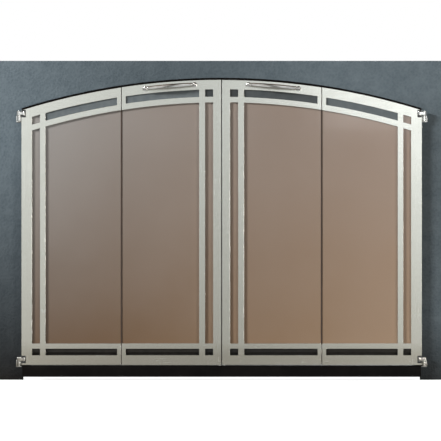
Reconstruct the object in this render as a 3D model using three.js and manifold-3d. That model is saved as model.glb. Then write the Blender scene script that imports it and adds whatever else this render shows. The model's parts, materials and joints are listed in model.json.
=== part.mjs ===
// Arched bifold glass doors for a fireplace, with their surround plate and frame.
//
// Millimetres. +X is to the right of someone facing the doors, +Y runs into the firebox, +Z is up.
// The origin is at hearth level, midway across the width and midway through the depth.
//
// The doors are four panels in two mirrored pairs. In each pair the outer panel swings on two corner
// hinges, and the inner panel folds back behind it while its guide pin runs along a slot in the sill.
// The functions take a side, -1 for the left pair or 1 for the right, and "near" and "far" distances
// from the centre line.

import Module from "manifold-3d";
import * as THREE from "three";
import { mergeVertices } from "three/addons/utils/BufferGeometryUtils.js";

const wasm = await Module();
wasm.setup();

// ---------------------------------------------------------------- driving dimensions

const FIT_GAP = 0.3; // between pieces that touch
const CUT_PAST = 1; // how far a cutting solid runs past the faces it cuts

// Every arch shares one centre, below the hearth on the centre line.
const ARCH_CENTRE_Z = -946.1;
const DOOR_ARCH = 1709.5; // radius of the doors' top edge
const RIM_ARCH = 1716.5; // radius of the header's outer edge
const ARCH_STEP = 34; // longest straight facet along an arch

const PLATE_WIDTH = 1140;
const PLATE_HEIGHT = 814;
const PLATE_THICKNESS = 5;
const PLATE_FRONT = 0;
const LEG_INNER = 506; // centre line to the inner edge of each leg

const FRAME_FRONT = -3; // front of the header's lip and the jambs' stops
const FRAME_BACK = 44.7;
const FRAME_SHEET = 3;
const HEADER_INNER_ARCH = 1706;
const HEADER_WEB_ARCH = 1709.3;
const LIP_REACH = 509; // centre line to the ends of the header's lip
const JAMB_STOP_NEAR = 486;
const PLATE_TO_WEB = 0.5; // the plate's opening clears the header's web by this much

const SILL_BOTTOM = 10;
const SILL_TOP = 38;
const SILL_FRONT = -26;
const SILL_NOSE_RADIUS = 5;
const SILL_NOSE_STEPS = 5;
const SLOT_NEAR = 3; // centre line to the near end of each guide slot
const SLOT_FAR = 480;
const SLOT_WIDTH = 7;

const DOOR_BOTTOM = 40;
const DOOR_FAR = 508;
const CENTRE_EDGE = 1.25; // centre line to the edge of each inner panel
const FOLD_LINE = 254.3;
const FOLD_GAP = 2; // between the rails of a pair
const GLASS_FOLD_GAP = 2.4; // between the bare edges of its two panes

const OVERLAY_FRONT = -22;
const OVERLAY_BACK = -18;
const SUBFRAME_FRONT = -17.7;
const SUBFRAME_BACK = -8;
const RABBET_FRONT = -15.3; // the glass lies behind this step
const GLASS_FRONT = -15;
const GLASS_BACK = -10;

const TOP_RAIL = 24;
const TOP_SLOT = 18.5;
const ARCH_BAR = 14.5;
const BOTTOM_RAIL = 24.5;
const BOTTOM_SLOT = 16.5;
const LOWER_BAR = 13.5;
const SLOT_TO_FOLD = 11; // a slot stops this far from the fold line
const OUTER_STILE = 27;
const OUTER_STRIP = 20;
const OUTER_BAR = 14;
const CENTRE_STILE = 20.25;
const CENTRE_STRIP = 20.5;
const CENTRE_BAR = 15;

const TOP_RABBET_RAIL = 20; // full-depth part of a sub-frame's top rail
const BOTTOM_RABBET_RAIL = 34;
const OUTER_RABBET_STILE = 12;
const CENTRE_RABBET_STILE = 10.75;
const HIDDEN_LIP = 1.5; // the sub-frame stays this far behind the overlay's edges
const GROOVE_BOTTOM = 59; // a draught groove in the sub-frames, behind the overlays' bottom slots
const GROOVE_TOP = 71.5;
const GROOVE_BACK = -11;
const GROOVE_PAST = 3; // it runs this far past the ends of those slots

const HINGE_REACH = 514.5; // centre line to the corner hinges' axis
const HINGE_Y = -15;
const HINGE_RADIUS = 6;
const HINGE_PIN_RADIUS = 2.5;
const HINGE_PIN_RISE = 9; // of the pin above the underside of the moving leaf
const HINGE_POST_HEIGHT = 13;
const HINGE_BASE_NEAR = 5.5; // from the axis to the base's near edge
const HINGE_BASE_FAR = 9.5;
const HINGE_BASE_DEPTH = 3;
const HINGE_BASE_PAST = 2; // the base runs past the barrel's ends by this much
const HINGE_WEB_HALF = 4;
const HINGE_PIN_ROOT = 1; // the pin starts this far up inside the barrel
const HINGE_LEAF_HEIGHT = 12.5;
const HINGE_NECK_HEIGHT = 7;
const HINGE_NECK_DEPTH = 2.7;
const BOSS_REACH = 502; // centre line to the boss at the end of each moving leaf
const BOSS_RADIUS = 3.3;
const BOSS_HEIGHT = 11;
const HINGE_LEVELS = { top: 672, bottom: 48 }; // underside of the moving leaf

const GUIDE_REACH = 6; // centre line to the guide pins' axis, in the plane of the hinge axes
const GUIDE_RADIUS = 2.1;
const GUIDE_COLLAR_RADIUS = 4.2;
const GUIDE_TAPER = 0.4; // off the radius of the tail's end
const GUIDE_TAPER_HEIGHT = 1;
const GUIDE_BOTTOM = 34;
const GUIDE_COLLAR = [38.5, 39.7]; // between the sill and the panel
const GUIDE_TOP = 57.5;
const GUIDE_HOLE_PAST = 0.5; // the hole is this much deeper than the shank
const FOLD_REACH = (HINGE_REACH + GUIDE_REACH) / 2;
const FOLD_Y = -4.4;
const FOLD_LEVELS = { top: 703, bottom: 48 };
const FOLD_HEIGHT = 32;
const FOLD_KNUCKLE_RADIUS = 3;
const FOLD_PIN_RADIUS = 1.2;
const FOLD_OUTER_KNUCKLE = 9.5;
const LEAF_FRONT = -7.7; // the leaves, retainers and strikes lie on the sub-frames' backs
const LEAF_BACK = -6.2;
const LEAF_WIDTH = 17.5;
const FOLD_HEAD_RADIUS = 2.4;
const FOLD_HEAD_SIDE = 0.8; // height of the pin head's straight side
const FOLD_HEAD_HEIGHT = 1.3;
const FOLD_HEAD_CHAMFER = 0.5;
const FOLD_OFFSET = 2 * (FOLD_REACH - FOLD_LINE); // the fold hinges' axis stands outside the fold line

const RETAINER_TO_FOLD = 30; // the strips that hold the glass clear the fold hinges' leaves
const RETAINER_TO_EDGE = 30;
const RETAINER_TOP_FLANGE = [35, 10]; // below the door's top arch
const RETAINER_TOP_FOOT = [35, 27];
const RETAINER_BOTTOM_FLANGE = [22, 45]; // above the door's bottom edge
const RETAINER_BOTTOM_FOOT = [37, 45];

const HANDLE_REACH = 131.6;
const HANDLE_ARCH = 1697.5;
const HANDLE_CENTRES = 127;
const HANDLE_END_Y = -38;
const HANDLE_BOW = 6.5; // the bar's middle stands this much further out than its ends
const HANDLE_HALF_HEIGHT = 4.8;
const HANDLE_HALF_DEPTH = 3.5;
const HANDLE_BALL_RADIUS = 4.7;
const HANDLE_COLLAR_RADIUS = 5;
const HANDLE_COLLAR_WIDTH = 2.4;
const HANDLE_COLLAR_INSET = 8.5; // ball centre to collar centre
const HANDLE_BAR_STEPS = 14;
const HANDLE_FOOT_RADIUS = 6.2;
const HANDLE_FOOT_HEIGHT = 1.6;
const HANDLE_NECK_RISE = 3; // from the overlay to where the foot has drawn in to the post
const HANDLE_POST_RADII = [3.8, 3.4];

const CATCH_HALF_WIDTH = 20;
const CATCH_HEIGHT = 15;
const CATCH_BACK = 12;
const CATCH_BELOW_HEADER = 0.5;
const CATCH_GROOVE_HALF = 1.5; // a groove down the middle of its face
const CATCH_GROOVE_DEPTH = 1.5;
const CATCH_GROOVE_BELOW = 3;
const STRIKE_GAP = 0.7; // from the strikes to the catch's face
const STRIKE_NEAR = 4.5;
const STRIKE_FAR = 23;
const STRIKE_HEIGHT = 13.5;
const STRIKE_BELOW_HEADER = 2;

const CLAMP_REACH = 300;
const CLAMP_WIDTH = 40;
const CLAMP_FRONT = 16;
const CLAMP_BACK = 48;
const CLAMP_RISE = 34;
const CLAMP_BELOW_WEB = 0.6;
const JAW_WIDTH = 38;
const JAW_DEPTH = 2; // the jaw pad stands this far in front of the clamp's hook
const JAW_ARCHES = [1712, 1735];

const ROUND_SIDES = 16;
const SMALL_SIDES = 12;

// ---------------------------------------------------------------- materials

const finishes = {
  slate: { color: 0x5a6468, roughness: 0.62, metalness: 0.25 },
  black: { color: 0x171614, roughness: 0.45, metalness: 0.2 },
  nickel: { color: 0xc4c4b8, roughness: 0.34, metalness: 0.95 },
  subframe: { color: 0x4c5457, roughness: 0.6, metalness: 0.2 },
  chrome: { color: 0xdadcdb, roughness: 0.12, metalness: 1 },
  zinc: { color: 0x9a9c9a, roughness: 0.4, metalness: 0.9 },
  magnet: { color: 0x141414, roughness: 0.7, metalness: 0 },
  glass: { color: 0x8a7160, roughness: 0.08, metalness: 0, transparent: true, opacity: 0.6 },
};

const doors = new THREE.Group();

function add(name, finish, geometry, parent = doors) {
  const mesh = new THREE.Mesh(geometry, new THREE.MeshStandardMaterial(finishes[finish]));
  mesh.name = name;
  parent.add(mesh);
}

// ---------------------------------------------------------------- solids

// A closed geometry as a manifold, for cutting and joining.
function solid(geometry) {
  const bare = geometry.clone();
  bare.deleteAttribute("normal");
  bare.deleteAttribute("uv");
  const merged = mergeVertices(bare);
  const corners = merged.index.array;
  const triangles = [];
  for (let i = 0; i < corners.length; i += 3) {
    const [a, b, c] = corners.slice(i, i + 3);
    if (a !== b && b !== c && c !== a) {
      triangles.push(a, b, c);
    }
  }
  const mesh = new wasm.Mesh({
    numProp: 3,
    vertProperties: Float32Array.from(merged.attributes.position.array),
    triVerts: Uint32Array.from(triangles),
  });
  return new wasm.Manifold(mesh);
}

function geometryOf(manifold) {
  const mesh = manifold.getMesh();
  const geometry = new THREE.BufferGeometry();
  geometry.setAttribute("position", new THREE.BufferAttribute(mesh.vertProperties, 3));
  geometry.setIndex(new THREE.BufferAttribute(mesh.triVerts, 1));
  geometry.computeVertexNormals();
  return geometry;
}

function join(...geometries) {
  return geometryOf(geometries.map(solid).reduce((whole, piece) => whole.add(piece)));
}

function cut(geometry, ...cutters) {
  return geometryOf(cutters.map(solid).reduce((whole, cutter) => whole.subtract(cutter), solid(geometry)));
}

// A level or an arched edge, as points from one x to another.
const flat = (z) => (from, to) => [new THREE.Vector2(from, z), new THREE.Vector2(to, z)];

const archHeight = (radius, x) => ARCH_CENTRE_Z + Math.sqrt(radius ** 2 - x ** 2);

const arch = (radius) => (from, to) => {
  const steps = Math.ceil(Math.abs(to - from) / ARCH_STEP);
  return Array.from({ length: steps + 1 }, (_, i) => {
    const x = THREE.MathUtils.lerp(from, to, i / steps);
    return new THREE.Vector2(x, archHeight(radius, x));
  });
};

// An outline drawn in X and Z, given thickness from yFront to yBack.
function sheet(points, yFront, yBack) {
  const geometry = new THREE.ExtrudeGeometry(new THREE.Shape(points), {
    depth: yBack - yFront,
    bevelEnabled: false,
  });
  return geometry.rotateX(Math.PI / 2).translate(0, yBack, 0);
}

// The part of a door pair between two distances from the centre line and two edges.
function panel(side, near, far, lower, upper, yFront, yBack) {
  const left = Math.min(side * near, side * far);
  const right = Math.max(side * near, side * far);
  return sheet([...lower(left, right), ...upper(right, left)], yFront, yBack);
}

function block(side, near, far, yFront, yBack, bottom, top) {
  const geometry = new THREE.BoxGeometry(far - near, yBack - yFront, top - bottom);
  return geometry.translate((side * (near + far)) / 2, (yFront + yBack) / 2, (bottom + top) / 2);
}

function rod(x, y, bottom, top, radius, sides = ROUND_SIDES) {
  const geometry = new THREE.CylinderGeometry(radius, radius, top - bottom, sides);
  return geometry.rotateX(Math.PI / 2).translate(x, y, (bottom + top) / 2);
}

// A turned piece standing along +Z, from [radius, height] pairs that start and end on the axis.
function turned(profile, sides) {
  const points = profile.map(([radius, height]) => new THREE.Vector2(radius, height));
  return new THREE.LatheGeometry(points, sides).rotateX(Math.PI / 2);
}

// ---------------------------------------------------------------- frame

const ACROSS_X = new THREE.Matrix4().set(0, 0, 1, 0, 1, 0, 0, 0, 0, 1, 0, 0, 0, 0, 0, 1);

function surroundPlate() {
  const halfWidth = PLATE_WIDTH / 2;
  const outline = [
    new THREE.Vector2(-halfWidth, 0),
    new THREE.Vector2(-LEG_INNER, 0),
    ...arch(HEADER_WEB_ARCH + PLATE_TO_WEB)(-LEG_INNER, LEG_INNER),
    new THREE.Vector2(LEG_INNER, 0),
    new THREE.Vector2(halfWidth, 0),
    new THREE.Vector2(halfWidth, PLATE_HEIGHT),
    new THREE.Vector2(-halfWidth, PLATE_HEIGHT),
  ];
  return sheet(outline, PLATE_FRONT, PLATE_FRONT + PLATE_THICKNESS);
}

// An L-section bent to the arch: a lip in front of the plate and a web running back under the lintel.
function archHeader() {
  const webReach = LEG_INNER - 2 * PLATE_TO_WEB;
  const lip = panel(
    1, -LIP_REACH, LIP_REACH, arch(HEADER_INNER_ARCH), arch(RIM_ARCH), FRAME_FRONT, -FIT_GAP,
  );
  const web = panel(
    1, -webReach, webReach, arch(HEADER_INNER_ARCH), arch(HEADER_WEB_ARCH), FRAME_FRONT, FRAME_BACK,
  );
  return join(lip, web);
}

// An angle with its web against the leg's edge and its stop flange behind the outer stile.
function jamb(side) {
  const far = LEG_INNER - PLATE_TO_WEB;
  const top = archHeight(HEADER_INNER_ARCH, far) - FIT_GAP;
  const bottom = SILL_TOP + FIT_GAP;
  return join(
    block(side, far - FRAME_SHEET, far, FRAME_FRONT, FRAME_BACK, bottom, top),
    block(side, JAMB_STOP_NEAR, far, FRAME_FRONT, FRAME_FRONT + FRAME_SHEET, bottom, top),
  );
}

// An inverted channel with a rounded nose, and a slot in its top for each pair's guide pin.
function bottomSill() {
  const profile = new THREE.Shape();
  const noseCentreY = SILL_FRONT + SILL_NOSE_RADIUS;
  const noseCentreZ = SILL_TOP - SILL_NOSE_RADIUS;
  profile.moveTo(SILL_FRONT, SILL_BOTTOM);
  profile.lineTo(SILL_FRONT + FRAME_SHEET, SILL_BOTTOM);
  profile.lineTo(SILL_FRONT + FRAME_SHEET, noseCentreZ);
  profile.lineTo(noseCentreY, SILL_TOP - FRAME_SHEET);
  profile.lineTo(FRAME_BACK - FRAME_SHEET, SILL_TOP - FRAME_SHEET);
  profile.lineTo(FRAME_BACK - FRAME_SHEET, SILL_BOTTOM);
  profile.lineTo(FRAME_BACK, SILL_BOTTOM);
  profile.lineTo(FRAME_BACK, SILL_TOP);
  profile.absarc(noseCentreY, noseCentreZ, SILL_NOSE_RADIUS, Math.PI / 2, Math.PI, false);
  const length = 2 * (LEG_INNER - PLATE_TO_WEB);
  const channel = new THREE.ExtrudeGeometry(profile, {
    depth: length,
    bevelEnabled: false,
    curveSegments: SILL_NOSE_STEPS,
  });
  channel.applyMatrix4(ACROSS_X).translate(-length / 2, 0, 0);
  const slots = [-1, 1].map((side) =>
    block(
      side, SLOT_NEAR, SLOT_FAR, HINGE_Y - SLOT_WIDTH / 2, HINGE_Y + SLOT_WIDTH / 2,
      SILL_TOP - FRAME_SHEET - CUT_PAST, SILL_TOP + CUT_PAST,
    ),
  );
  return cut(channel, ...slots);
}

// A black housing under the middle of the header, with its face just behind the strikes.
function magnetCatch() {
  const top = archHeight(HEADER_INNER_ARCH, 0) - CATCH_BELOW_HEADER;
  const face = LEAF_BACK + STRIKE_GAP;
  const bottom = top - CATCH_HEIGHT;
  const housing = block(1, -CATCH_HALF_WIDTH, CATCH_HALF_WIDTH, face, CATCH_BACK, bottom, top);
  const partingGroove = block(
    1, -CATCH_GROOVE_HALF, CATCH_GROOVE_HALF, face - CUT_PAST, face + CATCH_GROOVE_DEPTH,
    bottom - CUT_PAST, top - CATCH_GROOVE_BELOW,
  );
  return cut(housing, partingGroove);
}

// An angle under the header's web, square to the arch, that hooks up behind the lintel and bears on
// it with a jaw pad.
function lintelClamp(side) {
  const slope = Math.asin(CLAMP_REACH / HEADER_INNER_ARCH);
  const under = HEADER_INNER_ARCH - CLAMP_BELOW_WEB - FRAME_SHEET;
  const hookFront = CLAMP_BACK - FRAME_SHEET;
  const half = CLAMP_WIDTH / 2;
  const foot = block(1, -half, half, CLAMP_FRONT, CLAMP_BACK, under, under + FRAME_SHEET);
  const hook = block(1, -half, half, hookFront, CLAMP_BACK, under, under + CLAMP_RISE);
  const jaw = block(1, -JAW_WIDTH / 2, JAW_WIDTH / 2, hookFront - JAW_DEPTH, hookFront, ...JAW_ARCHES);
  return join(foot, hook, jaw).rotateY(side * slope).translate(0, 0, ARCH_CENTRE_Z);
}

// The fixed half of a corner hinge: a base on the plate, a barrel and the lift-off pin.
function hingePost(side, level) {
  const x = side * HINGE_REACH;
  const top = level - FIT_GAP;
  const bottom = level - HINGE_POST_HEIGHT;
  const base = block(
    side, HINGE_REACH - HINGE_BASE_NEAR, HINGE_REACH + HINGE_BASE_FAR,
    PLATE_FRONT - HINGE_BASE_DEPTH, PLATE_FRONT - FIT_GAP,
    bottom - HINGE_BASE_PAST, level + HINGE_BASE_PAST,
  );
  const webBack = PLATE_FRONT - HINGE_BASE_DEPTH / 3;
  const web = block(
    side, HINGE_REACH - HINGE_WEB_HALF, HINGE_REACH + HINGE_WEB_HALF, HINGE_Y, webBack, bottom, top,
  );
  const barrel = rod(x, HINGE_Y, bottom, top, HINGE_RADIUS);
  const pin = rod(
    x, HINGE_Y, bottom + HINGE_PIN_ROOT, level + HINGE_PIN_RISE, HINGE_PIN_RADIUS, SMALL_SIDES,
  );
  return join(base, web, barrel, pin);
}

// ---------------------------------------------------------------- door panels

// Where the edges of each kind of panel, its stile, strip and bar are, as distances from the centre line.
const outerPanel = {
  near: FOLD_LINE + FOLD_GAP / 2,
  far: DOOR_FAR,
  strip: [DOOR_FAR - OUTER_STILE - OUTER_STRIP, DOOR_FAR - OUTER_STILE],
  window: [FOLD_LINE - CUT_PAST, DOOR_FAR - OUTER_STILE - OUTER_STRIP - OUTER_BAR],
  slot: [FOLD_LINE + SLOT_TO_FOLD, DOOR_FAR - OUTER_STILE - OUTER_STRIP - OUTER_BAR],
  subframeWindow: [FOLD_LINE - CUT_PAST, DOOR_FAR - OUTER_STILE + HIDDEN_LIP],
  rabbet: [FOLD_LINE - CUT_PAST, DOOR_FAR - OUTER_RABBET_STILE],
  glass: [FOLD_LINE + GLASS_FOLD_GAP / 2, DOOR_FAR - OUTER_RABBET_STILE - FIT_GAP],
  groove: [FOLD_LINE + SLOT_TO_FOLD - GROOVE_PAST, DOOR_FAR - OUTER_STILE + GROOVE_PAST],
  retainer: [FOLD_LINE + RETAINER_TO_FOLD, DOOR_FAR - RETAINER_TO_EDGE],
};

const centreStripNear = CENTRE_EDGE + CENTRE_STILE;
const centreWindowNear = centreStripNear + CENTRE_STRIP + CENTRE_BAR;
const innerPanel = {
  near: CENTRE_EDGE,
  far: FOLD_LINE - FOLD_GAP / 2,
  strip: [centreStripNear, centreStripNear + CENTRE_STRIP],
  window: [centreWindowNear, FOLD_LINE + CUT_PAST],
  slot: [centreWindowNear, FOLD_LINE - SLOT_TO_FOLD],
  subframeWindow: [centreStripNear - HIDDEN_LIP, FOLD_LINE + CUT_PAST],
  rabbet: [CENTRE_EDGE + CENTRE_RABBET_STILE, FOLD_LINE + CUT_PAST],
  glass: [CENTRE_EDGE + CENTRE_RABBET_STILE + FIT_GAP, FOLD_LINE - GLASS_FOLD_GAP / 2],
  groove: [centreStripNear - GROOVE_PAST, FOLD_LINE - SLOT_TO_FOLD + GROOVE_PAST],
  retainer: [CENTRE_EDGE + CENTRE_STILE + GROOVE_PAST, FOLD_LINE - RETAINER_TO_FOLD + FOLD_OFFSET],
};

// The levels where the overlay's rails, slots and bars change over.
const levels = {
  bottomSlot: [flat(DOOR_BOTTOM + BOTTOM_RAIL), flat(DOOR_BOTTOM + BOTTOM_RAIL + BOTTOM_SLOT)],
  window: [
    flat(DOOR_BOTTOM + BOTTOM_RAIL + BOTTOM_SLOT + LOWER_BAR),
    arch(DOOR_ARCH - TOP_RAIL - TOP_SLOT - ARCH_BAR),
  ],
  topSlot: [arch(DOOR_ARCH - TOP_RAIL - TOP_SLOT), arch(DOOR_ARCH - TOP_RAIL)],
};

function overlay(side, kind) {
  const whole = panel(
    side, kind.near, kind.far, flat(DOOR_BOTTOM), arch(DOOR_ARCH), OVERLAY_FRONT, OVERLAY_BACK,
  );
  const openings = [
    [kind.window, levels.window],
    [kind.strip, levels.window],
    [kind.slot, levels.bottomSlot],
    [kind.strip, levels.bottomSlot],
    [kind.slot, levels.topSlot],
    [kind.strip, levels.topSlot],
  ];
  const cutters = openings.map(([[near, far], [lower, upper]]) =>
    panel(side, near, far, lower, upper, OVERLAY_FRONT - CUT_PAST, OVERLAY_BACK + CUT_PAST),
  );
  return cut(whole, ...cutters);
}

// A stile and two rails, open at the fold, stepped at the back to take the glass.
function subframe(side, kind, extraCutters = []) {
  const whole = panel(
    side, kind.near, kind.far, flat(DOOR_BOTTOM), arch(DOOR_ARCH), SUBFRAME_FRONT, SUBFRAME_BACK,
  );
  const windowBottom = DOOR_BOTTOM + BOTTOM_RAIL + BOTTOM_SLOT + LOWER_BAR - HIDDEN_LIP;
  const windowArch = DOOR_ARCH - TOP_RAIL - TOP_SLOT - ARCH_BAR + HIDDEN_LIP;
  const window = panel(
    side, ...kind.subframeWindow, flat(windowBottom), arch(windowArch),
    SUBFRAME_FRONT - CUT_PAST, SUBFRAME_BACK + CUT_PAST,
  );
  const rabbet = panel(
    side, ...kind.rabbet, flat(DOOR_BOTTOM + BOTTOM_RABBET_RAIL), arch(DOOR_ARCH - TOP_RABBET_RAIL),
    RABBET_FRONT, SUBFRAME_BACK + CUT_PAST,
  );
  const groove = block(
    side, ...kind.groove, SUBFRAME_FRONT - CUT_PAST, GROOVE_BACK, GROOVE_BOTTOM, GROOVE_TOP,
  );
  return cut(whole, window, rabbet, groove, ...extraCutters);
}

// The outer sub-frames leave the glass showing in the overlay's top corner square.
function cornerNotch(side) {
  const stripFar = outerPanel.strip[1] + HIDDEN_LIP;
  const barMiddle = outerPanel.window[1] + OUTER_BAR / 2;
  return panel(
    side, barMiddle, stripFar,
    arch(DOOR_ARCH - TOP_RAIL - TOP_SLOT - ARCH_BAR), arch(DOOR_ARCH - TOP_RAIL + HIDDEN_LIP),
    SUBFRAME_FRONT - CUT_PAST, RABBET_FRONT + CUT_PAST,
  );
}

// The inner sub-frames have a blind hole up from the bottom edge for the guide pin.
function guideHole(side) {
  const top = GUIDE_TOP + GUIDE_HOLE_PAST;
  const radius = GUIDE_RADIUS + FIT_GAP;
  return rod(side * GUIDE_REACH, HINGE_Y, DOOR_BOTTOM - CUT_PAST, top, radius, SMALL_SIDES);
}

function glass(side, kind) {
  return panel(
    side, ...kind.glass,
    flat(DOOR_BOTTOM + BOTTOM_RABBET_RAIL + FIT_GAP), arch(DOOR_ARCH - TOP_RABBET_RAIL - FIT_GAP),
    GLASS_FRONT, GLASS_BACK,
  );
}

// Each strip that holds the glass: its flange lies behind a rail and its foot on the glass.
const retainerEdges = {
  top: {
    flange: RETAINER_TOP_FLANGE.map((depth) => arch(DOOR_ARCH - depth)),
    foot: RETAINER_TOP_FOOT.map((depth) => arch(DOOR_ARCH - depth)),
  },
  bottom: {
    flange: RETAINER_BOTTOM_FLANGE.map((rise) => flat(DOOR_BOTTOM + rise)),
    foot: RETAINER_BOTTOM_FOOT.map((rise) => flat(DOOR_BOTTOM + rise)),
  },
};

function retainer(side, kind, edges) {
  return join(
    panel(side, ...kind.retainer, ...edges.flange, LEAF_FRONT, LEAF_BACK),
    panel(side, ...kind.retainer, ...edges.foot, GLASS_BACK + FIT_GAP, LEAF_BACK),
  );
}

// The moving half of a corner hinge: a knuckle with a blind bore, and a narrow neck to a half-round
// boss on the overlay's front.
function hingeLeaf(side, level) {
  const x = side * HINGE_REACH;
  const top = level + HINGE_LEAF_HEIGHT;
  const middle = level + HINGE_LEAF_HEIGHT / 2;
  const seat = OVERLAY_FRONT - FIT_GAP;
  const neckFront = seat - HINGE_NECK_DEPTH;
  const noseY = neckFront + HINGE_RADIUS;
  const knuckle = join(
    rod(x, HINGE_Y, level, top, HINGE_RADIUS),
    rod(x, noseY, level, top, HINGE_RADIUS),
    block(side, HINGE_REACH - HINGE_RADIUS, HINGE_REACH + HINGE_RADIUS, noseY, HINGE_Y, level, top),
  );
  const neckBottom = middle - HINGE_NECK_HEIGHT / 2;
  const neckTop = middle + HINGE_NECK_HEIGHT / 2;
  const neck = block(side, BOSS_REACH, HINGE_REACH, neckFront, seat, neckBottom, neckTop);
  const bossBottom = middle - BOSS_HEIGHT / 2;
  const bossTop = middle + BOSS_HEIGHT / 2;
  const boss = rod(side * BOSS_REACH, seat, bossBottom, bossTop, BOSS_RADIUS);
  const behindSeat = block(
    side, BOSS_REACH - 2 * BOSS_RADIUS, DOOR_FAR + FIT_GAP, seat, seat + 2 * BOSS_RADIUS,
    bossBottom - CUT_PAST, bossTop + CUT_PAST,
  );
  const boreTop = level + HINGE_PIN_RISE + 2 * FIT_GAP;
  const bore = rod(x, HINGE_Y, level - CUT_PAST, boreTop, HINGE_PIN_RADIUS + FIT_GAP, SMALL_SIDES);
  return cut(join(knuckle, neck, cut(boss, behindSeat)), bore);
}

// ---------------------------------------------------------------- fold hinges

const innerKnuckle = [FOLD_OUTER_KNUCKLE + FIT_GAP, FOLD_HEIGHT - FOLD_OUTER_KNUCKLE - FIT_GAP];
const outerKnuckles = [
  [0, FOLD_OUTER_KNUCKLE],
  [FOLD_HEIGHT - FOLD_OUTER_KNUCKLE, FOLD_HEIGHT],
];

// One leaf of a fold hinge. direction is 1 for the leaf that reaches away from the centre line.
function foldLeaf(side, level, direction, knuckles) {
  const plateEdge = FOLD_KNUCKLE_RADIUS + FIT_GAP;
  const reach = (distance) => FOLD_REACH + direction * distance;
  const span = (a, b) => [Math.min(reach(a), reach(b)), Math.max(reach(a), reach(b))];
  const plate = block(
    side, ...span(plateEdge, plateEdge + LEAF_WIDTH), LEAF_FRONT, LEAF_BACK, level, level + FOLD_HEIGHT,
  );
  const barrels = knuckles.map(([bottom, top]) =>
    join(
      rod(side * FOLD_REACH, FOLD_Y, level + bottom, level + top, FOLD_KNUCKLE_RADIUS, SMALL_SIDES),
      block(
        side, ...span(0, plateEdge + 1), FOLD_Y - FOLD_KNUCKLE_RADIUS, LEAF_BACK,
        level + bottom, level + top,
      ),
    ),
  );
  const bore = rod(
    side * FOLD_REACH, FOLD_Y, level - CUT_PAST, level + FOLD_HEIGHT + CUT_PAST,
    FOLD_PIN_RADIUS + FIT_GAP, SMALL_SIDES,
  );
  return cut(join(plate, ...barrels), bore);
}

function foldPin(side, level) {
  const seat = FOLD_HEIGHT + FIT_GAP;
  const profile = [
    [0, 0],
    [FOLD_PIN_RADIUS, 0],
    [FOLD_PIN_RADIUS, seat],
    [FOLD_HEAD_RADIUS, seat],
    [FOLD_HEAD_RADIUS, seat + FOLD_HEAD_SIDE],
    [FOLD_HEAD_RADIUS - FOLD_HEAD_CHAMFER, seat + FOLD_HEAD_HEIGHT],
    [0, seat + FOLD_HEAD_HEIGHT],
  ];
  return turned(profile, SMALL_SIDES).translate(side * FOLD_REACH, FOLD_Y, level);
}

// ---------------------------------------------------------------- guide, catch and handle

// A collared pin: its shank is in the sub-frame and its tail in the sill's slot.
function guidePin(side) {
  const [collarBottom, collarTop] = GUIDE_COLLAR;
  const profile = [
    [0, GUIDE_BOTTOM],
    [GUIDE_RADIUS - GUIDE_TAPER, GUIDE_BOTTOM],
    [GUIDE_RADIUS, GUIDE_BOTTOM + GUIDE_TAPER_HEIGHT],
    [GUIDE_RADIUS, collarBottom],
    [GUIDE_COLLAR_RADIUS, collarBottom],
    [GUIDE_COLLAR_RADIUS, collarTop],
    [GUIDE_RADIUS, collarTop],
    [GUIDE_RADIUS, GUIDE_TOP],
    [0, GUIDE_TOP],
  ];
  return turned(profile, SMALL_SIDES).translate(side * GUIDE_REACH, HINGE_Y, 0);
}

function strikePlate(side) {
  const top = archHeight(HEADER_INNER_ARCH, 0) - STRIKE_BELOW_HEADER;
  return block(side, STRIKE_NEAR, STRIKE_FAR, LEAF_FRONT, LEAF_BACK, top - STRIKE_HEIGHT, top);
}

// The handle's own frame: x along the rail, origin on the overlay's arch line.
function handleGroup(side) {
  const group = new THREE.Group();
  const slope = Math.asin(HANDLE_REACH / HANDLE_ARCH);
  group.position.set(side * HANDLE_REACH, 0, archHeight(HANDLE_ARCH, HANDLE_REACH));
  group.rotation.y = side * slope;
  doors.add(group);
  return group;
}

// A shallow bowed bar of oval section with a collar and a ball at each end.
function handleBar() {
  const half = HANDLE_CENTRES / 2;
  const bow = new THREE.QuadraticBezierCurve3(
    new THREE.Vector3(-half, HANDLE_END_Y, 0),
    new THREE.Vector3(0, HANDLE_END_Y - 2 * HANDLE_BOW, 0),
    new THREE.Vector3(half, HANDLE_END_Y, 0),
  );
  const oval = new THREE.EllipseCurve(0, 0, HANDLE_HALF_HEIGHT, HANDLE_HALF_DEPTH);
  const bar = new THREE.ExtrudeGeometry(new THREE.Shape(oval.getPoints(SMALL_SIDES).slice(0, -1)), {
    steps: HANDLE_BAR_STEPS,
    extrudePath: bow,
  });
  const collarY = bow.getPoint(HANDLE_COLLAR_INSET / HANDLE_CENTRES).y;
  const ends = [-1, 1].flatMap((end) => [
    new THREE.CylinderGeometry(
      HANDLE_COLLAR_RADIUS, HANDLE_COLLAR_RADIUS, HANDLE_COLLAR_WIDTH, ROUND_SIDES,
    )
      .rotateZ(Math.PI / 2)
      .translate(end * (half - HANDLE_COLLAR_INSET), collarY, 0),
    new THREE.SphereGeometry(HANDLE_BALL_RADIUS, ROUND_SIDES, SMALL_SIDES)
      .translate(end * half, HANDLE_END_Y, 0),
  ]);
  return join(bar, ...ends);
}

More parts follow.
